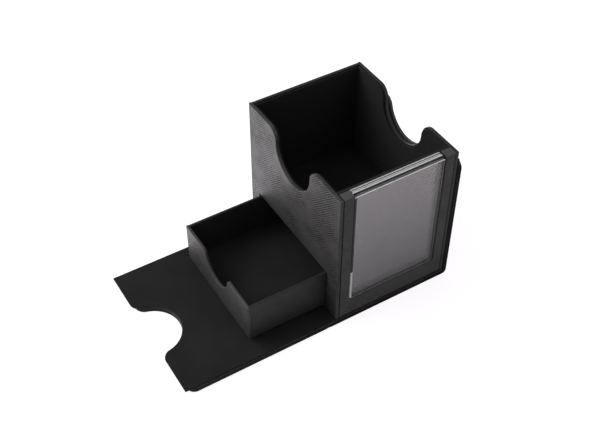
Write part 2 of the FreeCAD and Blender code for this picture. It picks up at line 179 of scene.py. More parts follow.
def addFloor():
    bm = bmesh.new()
    bmesh.ops.create_grid(bm, x_segments=1, y_segments=1, size=studio["floorSize"])
    bmesh.ops.translate(bm, verts=bm.verts, vec=(0, 0, -studio["floorDrop"]))
    mesh = bpy.data.meshes.new("floor")
    bm.to_mesh(mesh)
    bm.free()
    floor = bpy.data.objects.new("floor", mesh)
    scene.collection.objects.link(floor)
    material = bpy.data.materials.new("paleFloor")
    material.use_nodes = True
    nodes, links = material.node_tree.nodes, material.node_tree.links
    nodes.clear()
    paint = nodes.new("ShaderNodeBsdfDiffuse")
    paint.inputs["Color"].default_value = studio["floorColour"]
    glow = nodes.new("ShaderNodeEmission")
    glow.inputs["Color"].default_value = studio["floorTint"]
    # painted reflection: the glow that only mirror and glass rays see grows brighter towards the
    # back left and the front
    spot = nodes.new("ShaderNodeTexCoord").outputs["Object"]
    ramps = []
    for direction, start, end, level in studio["floorRamps"]:
        along = nodes.new("ShaderNodeVectorMath")
        along.operation = "DOT_PRODUCT"
        along.inputs[1].default_value = direction
        links.new(spot, along.inputs[0])
        ramps.append(rangeNode(material.node_tree, along.outputs["Value"], start, end,
                               studio["floorMirrored"], level))
    mirrored = mathNode(material.node_tree, "MAXIMUM", *ramps)
    links.new(seenLevel(nodes, links, studio["floorGlow"], mirrored), glow.inputs["Strength"])
    material.cycles.emission_sampling = "NONE"
    added = nodes.new("ShaderNodeAddShader")
    links.new(paint.outputs[0], added.inputs[0])
    links.new(glow.outputs[0], added.inputs[1])
    out = nodes.new("ShaderNodeOutputMaterial")
    links.new(added.outputs[0], out.inputs["Surface"])
    mesh.materials.append(material)


scene.view_settings.view_transform = "Standard"
addCamera()
addLamps()
addSky()
addFloor()
print("camera, lamps and floor ready")


# ---- shared effects

leatherLook = {
    "colour": (0.026, 0.0245, 0.0255, 1),
    "worn": (0.037, 0.0348, 0.0365, 1),
    # painted shade: the colour that the pressed grooves darken to
    "paintedGrooveShade": (0.003, 0.003, 0.003, 1),
    "relief": 0.16 * mm,
    "strength": 0.85,
    "pitch": 1.46 * mm,
    "dash": 6 * mm,
    "stagger": 7.31,
    "waverShare": 0.6,
    "poreShare": 0.22,
    "IOR": 1.5,
    "coatRoughness": 0.54,
    # noises: scale and detail
    "waver": (160.0, 1.0),
    "breaks": (1.6, 1.0),
    "fading": (38.0, 1.0),
    "pores": (3800.0, 2.0),
    "wear": (45.0, 3.0),
    "handling": (85.0, 2.0),
    # ranges: a noise or a height from and to, and what that gives
    "broken": (0.28, 0.48, 0.0, 1.0),
    "faded": (0.38, 0.58, 0.2, 1.0),
    "grooveShadeShown": (0.0, 1.0, 0.0, 0.9),
    "rubbed": (0.42, 0.72, 0.0, 0.55),
    "roughness": (0.3, 0.7, 0.62, 0.50),
    "ridge": (0.15, 0.9),
    "handled": (0.35, 0.65, 0.88, 1.09),
    # slant of the lines, their depth, gloss in the grooves and on the ridges, tone, mirror level;
    # tone, gloss and mirror level differ by face as painted light and shade, so these are lit and
    # shaded copies of one leather
    "faces": {
        "leatherUp": (-45, 0.90, 0.04, 0.72, 1.45, 0.2),
        "leatherDown": (45, 0.60, 0.05, 0.48, 0.66, 0.2),
        "leatherFrame": (45, 0.65, 0.05, 0.49, 1.5, 0.2),
        "leatherEdge": (45, 0.50, 0.0, 0.03, 0.22, 0.05),
        "leatherRim": (45, 0.40, 0.05, 0.60, 2.6, 0.2),
        "leatherPull": (-45, 0.55, 0.04, 0.63, 1.4, 0.2),
        "leatherSide": (45, 0.35, 0.05, 0.46, 0.66, 0.2),
    },
}

napLook = {
    "dark": (0.0088, 0.0079, 0.0082, 1),
    "light": (0.0155, 0.0138, 0.0144, 1),
    # painted shade: a darker copy of the lining, for the tower's inside
    "deepShadeDark": (0.0034, 0.0032, 0.0033, 1),
    "deepShadeLight": (0.0062, 0.0058, 0.0060, 1),
    "lint": (0.06, 0.06, 0.06, 1),
    "roughness": 0.92,
    "mirror": 0.25,
    "sheen": 0.06,
    "sheenRoughness": 0.5,
    "relief": 0.05 * mm,
    "strength": 0.6,
    "fibre": 2600.0,
    "patch": 35.0,
    "detail": 3.0,
    "specks": (900.0, 0.0),
    "lintShown": (0.85, 0.92),
    "patchesShown": (0.35, 0.65),
    "fibresShown": (0.35, 0.7, 0.0, 0.5),
}


def newGroup(name, inputs, outputs):
    group = bpy.data.node_groups.new(name, "ShaderNodeTree")
    for title, kind, value in inputs:
        socket = group.interface.new_socket(title, in_out="INPUT", socket_type=kind)
        if value is not None:
            socket.default_value = value
    for title, kind in outputs:
        group.interface.new_socket(title, in_out="OUTPUT", socket_type=kind)
    return group, group.nodes.new("NodeGroupInput"), group.nodes.new("NodeGroupOutput")


def noiseNode(tree, vector, scale, detail=2.0):
    node = tree.nodes.new("ShaderNodeTexNoise")
    node.inputs["Detail"].default_value = detail
    if isinstance(scale, (int, float)):
        node.inputs["Scale"].default_value = scale
    else:
        tree.links.new(scale, node.inputs["Scale"])
    tree.links.new(vector, node.inputs["Vector"])
    return node.outputs["Fac"]


def makePressedLines():
    # fine pressed lines at a slant, each broken into dashes of uneven length
    group, given, out = newGroup(
        "pressedLines",
        [("Vector", "NodeSocketVector", None), ("Slant", "NodeSocketFloat", 0.0),
         ("Pitch", "NodeSocketFloat", leatherLook["pitch"]),
         ("Dash", "NodeSocketFloat", leatherLook["dash"]), ("Depth", "NodeSocketFloat", 1.0)],
        [("Height", "NodeSocketFloat"), ("GrooveShade", "NodeSocketFloat")])
    turned = group.nodes.new("ShaderNodeVectorRotate")
    turned.rotation_type = "Z_AXIS"
    group.links.new(given.outputs["Vector"], turned.inputs["Vector"])
    group.links.new(given.outputs["Slant"], turned.inputs["Angle"])
    parts = group.nodes.new("ShaderNodeSeparateXYZ")
    group.links.new(turned.outputs["Vector"], parts.inputs["Vector"])
    waver = noiseNode(group, given.outputs["Vector"], *leatherLook["waver"])
    waver = mathNode(group, "MULTIPLY", waver, leatherLook["waverShare"])
    across = mathNode(group, "DIVIDE", parts.outputs["Y"], given.outputs["Pitch"])
    across = mathNode(group, "ADD", across, waver)
    line = mathNode(group, "FLOOR", across)
    within = mathNode(group, "FRACT", across)
    ridge = mathNode(group, "SINE", mathNode(group, "MULTIPLY", within, math.pi))
    ridge = mathNode(group, "MULTIPLY", ridge, ridge)
    along = mathNode(group, "DIVIDE", parts.outputs["X"], given.outputs["Dash"])
    place = group.nodes.new("ShaderNodeCombineXYZ")
    group.links.new(along, place.inputs["X"])
    group.links.new(mathNode(group, "MULTIPLY", line, leatherLook["stagger"]), place.inputs["Y"])
    breaks = noiseNode(group, place.outputs["Vector"], *leatherLook["breaks"])
    shown = rangeNode(group, breaks, *leatherLook["broken"])
    fading = noiseNode(group, given.outputs["Vector"], *leatherLook["fading"])
    shown = mathNode(group, "MULTIPLY", shown, rangeNode(group, fading, *leatherLook["faded"]))
    shown = mathNode(group, "MULTIPLY", shown, given.outputs["Depth"])
    depth = mathNode(group, "MULTIPLY", mathNode(group, "SUBTRACT", 1.0, ridge), shown)
    group.links.new(mathNode(group, "SUBTRACT", 1.0, depth), out.inputs["Height"])
    # the groove's depth, used by the leather as painted shade in the grooves
    group.links.new(depth, out.inputs["GrooveShade"])
    return group


def makeNap():
    # short uneven pile: fine fibres, soft patches and a little lint
    group, given, out = newGroup(
        "nap",
        [("Vector", "NodeSocketVector", None), ("Fibre", "NodeSocketFloat", napLook["fibre"]),
         ("Patch", "NodeSocketFloat", napLook["patch"])],
        [("Height", "NodeSocketFloat"), ("Patches", "NodeSocketFloat"),
         ("Lint", "NodeSocketFloat")])
    vector, detail = given.outputs["Vector"], napLook["detail"]
    group.links.new(noiseNode(group, vector, given.outputs["Fibre"], detail), out.inputs["Height"])
    group.links.new(noiseNode(group, vector, given.outputs["Patch"], detail), out.inputs["Patches"])
    specks = noiseNode(group, vector, *napLook["specks"])
    group.links.new(rangeNode(group, specks, *napLook["lintShown"]), out.inputs["Lint"])
    return group


pressedLines = makePressedLines()
nap = makeNap()


# ---- materials

clearLook = {
    "tint": (0.98, 0.962, 0.98, 1),
    "IOR": 1.5,
    "haze": (60.0, 3.0),
    "roughness": (0.35, 0.75, 0.0, 0.02),
    "ripple": (25.0, 1.0),
    "relief": 0.3 * mm,
    "strength": 0.08,
}

frostedLook = {
    "saw": (500.0, 3.0),
    "scored": (0.35, 0.75, 0.0, 0.35),
    "scoreTone": (0.05, 0.05, 0.05, 1),
    "roughness": (0.3, 0.7, 0.45, 0.6),
    "mirror": 0.2,
    "relief": 0.05 * mm,
    "strength": 0.3,
}

# painted shade: a dark mottled strip behind the clear front sheet
shadeStripLook = {
    "mottle": (400.0, 3.0),
    "dark": (0.004, 0.004, 0.004, 1),
    "light": (0.014, 0.014, 0.014, 1),
    "roughness": 0.7,
    "mirror": 0.0,
}

boardLook = {
    "pulp": (700.0, 4.0),
    "dark": (0.010, 0.010, 0.010, 1),
    "light": (0.022, 0.022, 0.022, 1),
    "roughness": 0.8,
    "relief": 0.05 * mm,
    "strength": 0.4,
}

nickelLook = {
    "brushing": (1500.0, 2.0),
    "dark": (0.46, 0.45, 0.43, 1),
    "light": (0.62, 0.61, 0.59, 1),
    "roughness": (0.3, 0.7, 0.22, 0.38),
}


def newMaterial(name):
    material = bpy.data.materials.new(name)
    material.use_nodes = True
    tree = material.node_tree
    return material, tree, tree.nodes["Principled BSDF"]


def placeGroup(tree, group, vector, **values):
    node = tree.nodes.new("ShaderNodeGroup")
    node.node_tree = group
    tree.links.new(vector, node.inputs["Vector"])
    for title, value in values.items():
        node.inputs[title].default_value = value
    return node


def surfaceMap(tree):
    # the piece's own map, in metres along the surface
    node = tree.nodes.new("ShaderNodeUVMap")
    node.uv_map = "surface"
    return node.outputs["UV"]


def objectMap(tree):
    return tree.nodes.new("ShaderNodeTexCoord").outputs["Object"]


def mixColours(tree, amount, first, second):
    node = tree.nodes.new("ShaderNodeMix")
    node.data_type = "RGBA"
    tree.links.new(amount, node.inputs[0])
    for index, value in ((6, first), (7, second)):
        if isinstance(value, tuple):
            node.inputs[index].default_value = value
        else:
            tree.links.new(value, node.inputs[index])
    return node.outputs[2]


def addBump(tree, shader, height, look):
    node = tree.nodes.new("ShaderNodeBump")
    node.inputs["Strength"].default_value = look["strength"]
    node.inputs["Distance"].default_value = look["relief"]
    tree.links.new(height, node.inputs["Height"])
    tree.links.new(node.outputs["Normal"], shader.inputs["Normal"])


def makeLeather(name):
    slant, depth, dull, polished, tone, mirror = leatherLook["faces"][name]
    # tone scales the colour of each copy: painted light and shade
    plain, worn = ((*(value * tone for value in leatherLook[key][:3]), 1)
                   for key in ("colour", "worn"))
    material, tree, shader = newMaterial(name)
    vector = surfaceMap(tree)
    lines = placeGroup(tree, pressedLines, vector, Slant=math.radians(slant), Depth=depth)
    wear = noiseNode(tree, vector, *leatherLook["wear"])
    rubbed = rangeNode(tree, wear, *leatherLook["rubbed"])
    base = mixColours(tree, rubbed, plain, worn)
    # painted shade: the leather darkens in the grooves of the pressed lines
    grooveShadeMask = rangeNode(tree, lines.outputs["GrooveShade"], *leatherLook["grooveShadeShown"])
    tree.links.new(mixColours(tree, grooveShadeMask, base, leatherLook["paintedGrooveShade"]),
                   shader.inputs["Base Color"])
    tree.links.new(rangeNode(tree, wear, *leatherLook["roughness"]), shader.inputs["Roughness"])
    shader.inputs["IOR"].default_value = leatherLook["IOR"]
    shader.inputs["Specular IOR Level"].default_value = mirror
    gloss = rangeNode(tree, lines.outputs["Height"], *leatherLook["ridge"], dull, polished)
    handling = noiseNode(tree, vector, *leatherLook["handling"])
    handled = rangeNode(tree, handling, *leatherLook["handled"])
    tree.links.new(mathNode(tree, "MULTIPLY", gloss, handled), shader.inputs["Coat Weight"])
    shader.inputs["Coat Roughness"].default_value = leatherLook["coatRoughness"]
    pores = noiseNode(tree, vector, *leatherLook["pores"])
    pores = mathNode(tree, "MULTIPLY", pores, leatherLook["poreShare"])
    addBump(tree, shader, mathNode(tree, "ADD", lines.outputs["Height"], pores), leatherLook)
    return material


def makeNapMaterial(name, dark, light):
    material, tree, shader = newMaterial(name)
    vector = objectMap(tree)
    pile = placeGroup(tree, nap, vector)
    patches = rangeNode(tree, pile.outputs["Patches"], *napLook["patchesShown"])
    base = mixColours(tree, patches, dark, light)
    fibres = rangeNode(tree, pile.outputs["Height"], *napLook["fibresShown"])
    fibres = mixColours(tree, fibres, base, light)
    tree.links.new(mixColours(tree, pile.outputs["Lint"], fibres, napLook["lint"]),
                   shader.inputs["Base Color"])
    shader.inputs["Roughness"].default_value = napLook["roughness"]
    shader.inputs["Specular IOR Level"].default_value = napLook["mirror"]
    shader.inputs["Sheen Weight"].default_value = napLook["sheen"]
    shader.inputs["Sheen Roughness"].default_value = napLook["sheenRoughness"]
    addBump(tree, shader, pile.outputs["Height"], napLook)
    return material


def makeClear(name):
    material, tree, shader = newMaterial(name)
    vector = objectMap(tree)
    haze = noiseNode(tree, vector, *clearLook["haze"])
    tree.links.new(rangeNode(tree, haze, *clearLook["roughness"]), shader.inputs["Roughness"])
    shader.inputs["Base Color"].default_value = clearLook["tint"]
    shader.inputs["Transmission Weight"].default_value = 1.0
    shader.inputs["IOR"].default_value = clearLook["IOR"]
    addBump(tree, shader, noiseNode(tree, vector, *clearLook["ripple"]), clearLook)
    return material


def makeFrosted(name, near, far, depth, top=0.0):
    # a cut edge: near is its tone at the sheet's outer face, far its tone at depth, top its height;
    # the tones are the frosted edge's grey with painted light and shade on it
    material, tree, shader = newMaterial(name)
    vector = surfaceMap(tree)
    parts = tree.nodes.new("ShaderNodeSeparateXYZ")
    tree.links.new(vector, parts.inputs["Vector"])
    across = rangeNode(tree, parts.outputs["Y"], top, top + depth)
    saw = noiseNode(tree, vector, *frostedLook["saw"])
    scored = rangeNode(tree, saw, *frostedLook["scored"])
    tone = mixColours(tree, across, (near, near, near, 1), (far, far, far, 1))
    tree.links.new(mixColours(tree, scored, tone, frostedLook["scoreTone"]),
                   shader.inputs["Base Color"])
    tree.links.new(rangeNode(tree, saw, *frostedLook["roughness"]), shader.inputs["Roughness"])
    shader.inputs["Specular IOR Level"].default_value = frostedLook["mirror"]
    addBump(tree, shader, saw, frostedLook)
    return material


def makeShadeStripBlack(name):
    material, tree, shader = newMaterial(name)
    mottle = noiseNode(tree, objectMap(tree), *shadeStripLook["mottle"])
    tree.links.new(mixColours(tree, mottle, shadeStripLook["dark"], shadeStripLook["light"]),
                   shader.inputs["Base Color"])
    shader.inputs["Roughness"].default_value = shadeStripLook["roughness"]
    shader.inputs["Specular IOR Level"].default_value = shadeStripLook["mirror"]
    return material


def makePaperBoard(name):
    material, tree, shader = newMaterial(name)
    pulp = noiseNode(tree, objectMap(tree), *boardLook["pulp"])
    tree.links.new(mixColours(tree, pulp, boardLook["dark"], boardLook["light"]),
                   shader.inputs["Base Color"])
    shader.inputs["Roughness"].default_value = boardLook["roughness"]
    addBump(tree, shader, pulp, boardLook)
    return material


def makeNickel(name):
    material, tree, shader = newMaterial(name)
    brushing = noiseNode(tree, objectMap(tree), *nickelLook["brushing"])
    tree.links.new(mixColours(tree, brushing, nickelLook["dark"], nickelLook["light"]),
                   shader.inputs["Base Color"])
    shader.inputs["Metallic"].default_value = 1.0
    tree.links.new(rangeNode(tree, brushing, *nickelLook["roughness"]), shader.inputs["Roughness"])
    return material


# lit and shaded copies of one leather: their tones are painted light and shade
leatherUp = makeLeather("leatherUp")
leatherDown = makeLeather("leatherDown")
leatherFrame = makeLeather("leatherFrame")
leatherEdge = makeLeather("leatherEdge")
leatherRim = makeLeather("leatherRim")
leatherPull = makeLeather("leatherPull")
leatherSide = makeLeather("leatherSide")
liningNap = makeNapMaterial("liningNap", napLook["dark"], napLook["light"])
# the darker lining copy: painted shade deep in the tower
deepShadeNap = makeNapMaterial("deepShadeNap", napLook["deepShadeDark"], napLook["deepShadeLight"])
clearSheet = makeClear("clearSheet")
shadeStripBlack = makeShadeStripBlack("shadeStripBlack")
paperBoard = makePaperBoard("paperBoard")
nickel = makeNickel("nickel")
print("materials ready")


# ---- making a board: an outline, a thickness, rounded edges and a map

boardShape = {
    "outerSegments": 4,
    "innerSegments": 3,
    "cornerSteps": 8,
    "windowSteps": 5,
    "endBand": 1 * mm,  # faces this close to a board's end belong to it
    "smoothBelow": math.radians(38),
    "flatBelow": math.radians(1),
    "weld": 1e-6,
    "hair": 1e-7,
}

share = {  # how much of a face's normal lies along an axis
    "none": 0.02,
    "little": 0.2,
    "some": 0.3,
    "half": 0.5,
    "most": 0.8,
    "nearlyAll": 0.9,
}


def facingMatrix(facing, origin):
    # columns: along the board, up the board, inward through it
    axes = {
        "left": ((0, -1, 0), (0, 0, 1), (1, 0, 0)),
        "right": ((0, 1, 0), (0, 0, 1), (-1, 0, 0)),
        "front": ((1, 0, 0), (0, 0, 1), (0, 1, 0)),
        "back": ((-1, 0, 0), (0, 0, 1), (0, -1, 0)),
        "down": ((0, 1, 0), (-1, 0, 0), (0, 0, 1)),
    }[facing]
    matrix = Matrix(axes).transposed().to_4x4()
    matrix.translation = origin
    return matrix


def boardPlace(node, facing):
    # the board's own size, and where its outer face's foot is
    low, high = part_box(node)
    size = high - low
    middle = (low + high) / 2
    if facing == "left":
        return size.y, size.z, size.x, Vector((low.x, middle.y, low.z))
    if facing == "right":
        return size.y, size.z, size.x, Vector((high.x, middle.y, low.z))
    if facing == "front":
        return size.x, size.z, size.y, Vector((middle.x, low.y, low.z))
    if facing == "back":
        return size.x, size.z, size.y, Vector((middle.x, high.y, low.z))
    return size.y, size.x, size.z, Vector((high.x, middle.y, low.z))


def lineTo(bm, vert, x, y):
    new = bm.verts.new((x, y, 0))
    bm.edges.new((vert, new))
    return new


def arcTo(bm, vert, centre, degrees, steps):
    made = bmesh.ops.spin(bm, geom=[vert], cent=(centre[0], centre[1], 0), axis=(0, 0, 1),
                          angle=math.radians(degrees), steps=steps)
    return [item for item in made["geom_last"] if isinstance(item, bmesh.types.BMVert)][0]


def traceNotch(bm, vert, height, notch):
    # from the right lip, round the notch, to the left lip
    radius, drop, lip = notch["radius"], notch["drop"], notch["lip"]
    lipX = math.sqrt((radius + lip) ** 2 - (drop - lip) ** 2)
    swing = 90 - math.degrees(math.atan2(lip - drop, lipX))
    bottom = 180 - 2 * (90 - swing)
    shift = notch.get("shift", 0)
    vert = lineTo(bm, vert, shift + lipX, height)
    vert = arcTo(bm, vert, (shift + lipX, height - lip), swing, notch["steps"] // 3)
    vert = arcTo(bm, vert, (shift, height - drop), -bottom, notch["steps"])
    return arcTo(bm, vert, (shift - lipX, height - lip), swing, notch["steps"] // 3)


def traceWindow(bm, vert, height, window):
    # down the right side of a rectangular gap open at the top, and up the left
    half, corner, steps = window["width"] / 2, window["corner"], boardShape["windowSteps"]
    foot = height - window["depth"]
    vert = lineTo(bm, vert, half, height)
    vert = lineTo(bm, vert, half, foot + corner)
    vert = arcTo(bm, vert, (half - corner, foot + corner), -90, steps)
    vert = lineTo(bm, vert, -half + corner, foot)
    vert = arcTo(bm, vert, (-half + corner, foot + corner), -90, steps)
    return lineTo(bm, vert, -half, height)


def traceBoard(bm, width, height, notch=None, window=None, corner=0):
    steps = boardShape["cornerSteps"]
    start = bm.verts.new((-width / 2, 0, 0))
    vert = lineTo(bm, start, width / 2, 0)
    vert = lineTo(bm, vert, width / 2, height - corner)
    if corner:
        vert = arcTo(bm, vert, (width / 2 - corner, height - corner), 90, steps)
    if notch:
        vert = traceNotch(bm, vert, height, notch)
    if window:
        vert = traceWindow(bm, vert, height, window)
    vert = lineTo(bm, vert, -width / 2 + corner, height)
    if corner:
        vert = arcTo(bm, vert, (-width / 2 + corner, height - corner), 90, steps)
    bm.edges.new((vert, start))


def traceHole(bm, hole):
    low, high = hole
    first = bm.verts.new((low[0], low[1], 0))
    vert = lineTo(bm, first, high[0], low[1])
    vert = lineTo(bm, vert, high[0], high[1])
    vert = lineTo(bm, vert, low[0], high[1])
    bm.edges.new((vert, first))


def liesAt(edge, axis, spot):
    return all(abs(vert.co[axis] - spot) < boardShape["hair"] for vert in edge.verts)


def isRim(edge):
    # an edge between a flat side of the board and its thickness
    if len(edge.link_faces) != 2:
        return False
    steep, flat = sorted(abs(face.normal.z) for face in edge.link_faces)
    return steep < share["some"] and flat > share["nearlyAll"]


def bevelRound(bm, geom, radius, segments, affect="EDGES"):
    bmesh.ops.bevel(bm, geom=geom, offset=radius, offset_type="OFFSET", segments=segments,
                    profile=0.5, affect=affect, material=-1, clamp_overlap=True)


def roundRim(bm, level, radius, segments, square=()):
    # square lists the heights of the sides that keep their sharp edge
    edges = [edge for edge in bm.edges if isRim(edge) and liesAt(edge, 2, level)
             and not any(liesAt(edge, 1, height) for height in square)]
    if radius and edges:
        bevelRound(bm, edges, radius, segments)


def mapSurface(bm):
    # the leather runs flat over the board and on round its edges
    layer = bm.loops.layers.uv.new("surface")
    for face in bm.faces:
        flat = abs(face.normal.z) > share["half"]
        for loop in face.loops:
            spot = loop.vert.co
            if flat:
                loop[layer].uv = (spot.x, spot.y)
            else:
                loop[layer].uv = (spot.x + face.normal.x * spot.z, spot.y + face.normal.y * spot.z)


def makeBoard(width, height, thickness, outer, inner, hole=None, square=(), **shape):
    bm = bmesh.new()
    traceBoard(bm, width, height, **shape)
    if hole:
        traceHole(bm, hole)
    bmesh.ops.remove_doubles(bm, verts=bm.verts, dist=boardShape["weld"])
    bmesh.ops.triangle_fill(bm, use_beauty=True, use_dissolve=False, edges=bm.edges[:])
    bmesh.ops.dissolve_limit(bm, angle_limit=boardShape["flatBelow"], verts=bm.verts[:],
                             edges=bm.edges[:])
    faces = bm.faces[:]
    bmesh.ops.recalc_face_normals(bm, faces=faces)
    made = bmesh.ops.extrude_face_region(bm, geom=faces, use_keep_orig=True)
    raised = [item for item in made["geom"] if isinstance(item, bmesh.types.BMVert)]
    bmesh.ops.translate(bm, verts=raised, vec=(0, 0, thickness))
    bmesh.ops.recalc_face_normals(bm, faces=bm.faces[:])
    roundRim(bm, 0, outer, boardShape["outerSegments"], square)
    roundRim(bm, thickness, inner, boardShape["innerSegments"], square)
    mapSurface(bm)
    return bm


def finishPiece(name, bm, material, nodes, matrix=None, ride=True):
    if matrix is not None:
        bmesh.ops.transform(bm, matrix=matrix, verts=bm.verts)
        if matrix.determinant() < 0:
            bmesh.ops.reverse_faces(bm, faces=bm.faces[:])
    mesh = bpy.data.meshes.new(name)
    bm.to_mesh(mesh)
    bm.free()
    mesh.materials.append(material)
    mesh.shade_smooth()
    mesh.set_sharp_from_angle(angle=boardShape["smoothBelow"])
    piece = bpy.data.objects.new(name, mesh)
    scene.collection.objects.link(piece)
    flats = piece.modifiers.new("flats", "WEIGHTED_NORMAL")
    flats.keep_sharp = True
    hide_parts(*nodes)
    if ride:
        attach(piece, bodyOf[nodes[0]])
    return piece


def markEnds(bm, width, allSides=False):
    # the ends of a board, or all its sides, take the second material, a darker copy of the leather
    # as painted shade
    band = width / 2 - boardShape["endBand"]
    for face in bm.faces:
        atEnd = abs(face.normal.x) > share["most"] and abs(face.calc_center_median().x) > band
        if atEnd or (allSides and abs(face.normal.z) < share["half"]):
            face.material_index = 1


def cutAcross(bm, axis, spots):
    direction = Vector((0, 0, 0))
    direction[axis] = 1
    for spot in spots:
        bmesh.ops.bisect_plane(bm, geom=bm.verts[:] + bm.edges[:] + bm.faces[:],
                               plane_co=direction * spot, plane_no=direction,
                               dist=boardShape["hair"])


def coverBoard(name, node, facing, material, slot, outer, inner, ends=None, allSides=False,
               **shape):
    # ends is the leather on the ends of the board, where it differs: a darker copy, painted shade
    width, height, thickness, origin = boardPlace(node, facing)
    bm = makeBoard(width, height, thickness, outer, inner, **shape)
    if ends:
        markEnds(bm, width, allSides)
    piece = finishPiece(name, bm, material, [node], facingMatrix(facing, origin))
    if ends:
        piece.data.materials.append(ends)
    return piece


# ---- the tower

towerNotch = {"radius": 21 * mm, "drop": 9.5 * mm, "lip": 9 * mm, "steps": 48}

tower = {
    "edge": 0.45 * mm,
    "innerEdge": 0.35 * mm,
    "frameEdge": 0.5 * mm,
    "frameJoint": (0.6 * mm, 0.15 * mm),  # at its left and its right
    "liningEdge": 0.45 * mm,
    "liningDrop": 1.0 * mm,
    "openingCorner": 1.2 * mm,
    "frontWallEdge": 0.6 * mm,
    "boardEdge": 0.3 * mm,
}


def makeTowerWalls():
    edge, innerEdge = tower["edge"], tower["innerEdge"]
    low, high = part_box("tower_left_wall")
    bayLow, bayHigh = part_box("bay_front_guide")
    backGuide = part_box("bay_back_guide")[0]
    middle = (low.y + high.y) / 2
    hole = ((middle - backGuide.y, bayLow.z - low.z), (middle - bayHigh.y, bayHigh.z - low.z))
    # the left wall takes a lit copy of the leather, the right and back walls a shaded one: painted
    # light and shade
    coverBoard("leftWall", "tower_left_wall", "left", leatherUp, "leatherette", edge, innerEdge,
               ends=leatherDown, notch=towerNotch, hole=hole)
    coverBoard("rightWall", "tower_right_wall", "right", leatherDown, "leatherette", edge,
               innerEdge, notch=towerNotch)
    coverBoard("backWall", "tower_back_wall", "back", leatherDown, "leatherette", edge, innerEdge)


def makeTowerFront():
    # the window frame, and the plain wall behind it
    rimLow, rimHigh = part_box("holder_front_sheet")
    window = {"width": rimHigh.x - rimLow.x, "depth": rimHigh.z - rimLow.z,
              "corner": tower["openingCorner"]}
    width, height, thickness, origin = boardPlace("window_frame", "front")
    left, right = tower["frameJoint"]
    bm = makeBoard(width - left - right, height, thickness, tower["frameEdge"], tower["frameEdge"],
                   window=window)
    for face in bm.faces:
        # the two ends at the tower's rim, with their rounding, take the lighter rim copy of the
        # leather: painted light
        atRim = face.calc_center_median().y > height - boardShape["endBand"]
        if atRim and face.normal.y > share["some"]:
            face.material_index = 1
    place = facingMatrix("front", origin + Vector(((left - right) / 2, 0, 0)))
    piece = finishPiece("windowFrame", bm, leatherFrame, ["window_frame"], place)
    piece.data.materials.append(leatherRim)
    coverBoard("frontWall", "tower_front_wall", "front", liningNap, "microfibre",
               tower["boardEdge"], tower["frontWallEdge"])


def makeTowerLinings():
    drop, edge = tower["liningDrop"], tower["liningEdge"]
    shift = -(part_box("lining_left")[0].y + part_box("lining_left")[1].y) / 2
    notch = {"radius": towerNotch["radius"] + drop, "drop": towerNotch["drop"] - drop,
             "lip": towerNotch["lip"] - drop, "steps": towerNotch["steps"]}
    # the left, front, back and floor linings take the darker copy: painted shade deep in the tower;
    # the right lining keeps the plain one
    coverBoard("leftLining", "lining_left", "left", deepShadeNap, "microfibre", edge, edge,
               notch=dict(notch, shift=-shift))
    coverBoard("rightLining", "lining_right", "right", liningNap, "microfibre", edge, edge,
               notch=dict(notch, shift=shift))
    for name, node, facing in (("frontLining", "lining_front", "front"),
                               ("backLining", "lining_back", "back"),
                               ("floorLining", "lining_floor", "down")):
        coverBoard(name, node, facing, deepShadeNap, "microfibre", edge, edge)


def makeTowerBoards():
    edge = tower["boardEdge"]
    for name, node, facing in (("towerBase", "tower_base_board", "down"),
                               ("deckFloor", "compartment_floor", "down"),
                               ("bayFrontGuide", "bay_front_guide", "front"),
                               ("bayBackGuide", "bay_back_guide", "back")):
        coverBoard(name, node, facing, paperBoard, "board", edge, edge)


makeTowerWalls()
makeTowerFront()
makeTowerLinings()
makeTowerBoards()
print("tower ready")


# ---- the clear card holder

holder = {
    "gap": 0.4 * mm,  # to the window frame, all round
    "layerGap": 0.03 * mm,  # between a sheet and a rim
    "frontEdge": 0.55 * mm,
    "middleEdge": 0.7 * mm,
    "backEdge": 0.35 * mm,
    "rimEdge": 0.12 * mm,
    "rimCorner": 2.0 * mm,
    "rimWidth": 1.6 * mm,
    "corner": 1.2 * mm,
    "cornerSegments": 5,
    "backShare": 0.6,  # a sheet's back edges are rounded by this share of its front ones
    "shadeStrip": 1.7 * mm,  # painted shade: dark strip behind the front sheet, at its sides and foot, darkening the window's border
    "shadeStripDepth": 0.01 * mm,
    "frontDrop": 1.5 * mm,  # the front sheet stands this much lower
    "slot": 2.2 * mm,  # painted shade: dark strip on the middle sheet's face, down the slot
    "leftStrip": 1.5 * mm,  # the front sheet's left edge, with a painted highlight and painted shade
    "frostAndLightTones": {  # tones of the frosted cut edges, partly their own grey and partly painted light and shade: at the outer face, at the inner face, over this depth
        "holderFront": (0.07, 0.12, 1.6 * mm),
        "holderMiddle": (0.02, 0.62, 2.0 * mm),
        "holderBack": (0.36, 0.46, 0.9 * mm),
    },
    "litFoot": 26 * mm,  # that left edge carries a painted highlight below this height
    "edgeHighlight": 0.95,  # painted highlight there, and on the rounded top edges
    "edgeShade": 0.05,  # painted shade on the left edge above, and on the strip down the slot
    "footHighlight": 0.9,  # painted highlight on the front sheet's rounded foot
}

# a sheet's materials: painted shade strip, cut edge, painted highlight, painted shade, painted
# highlight on the foot
holderTones = {"shadeStrip": 1, "cut": 2, "light": 3, "dim": 4, "foot": 5}  # a sheet's materials


def holderPlace(node):
    # a sheet stands a hair clear of the frame and of its neighbours
    width, height, thickness, origin = boardPlace(node, "front")
    gap, layerGap = holder["gap"], holder["layerGap"]
    place = facingMatrix("front", origin + Vector((0, layerGap, gap)))
    return width - 2 * gap, height - gap, thickness - 2 * layerGap, place


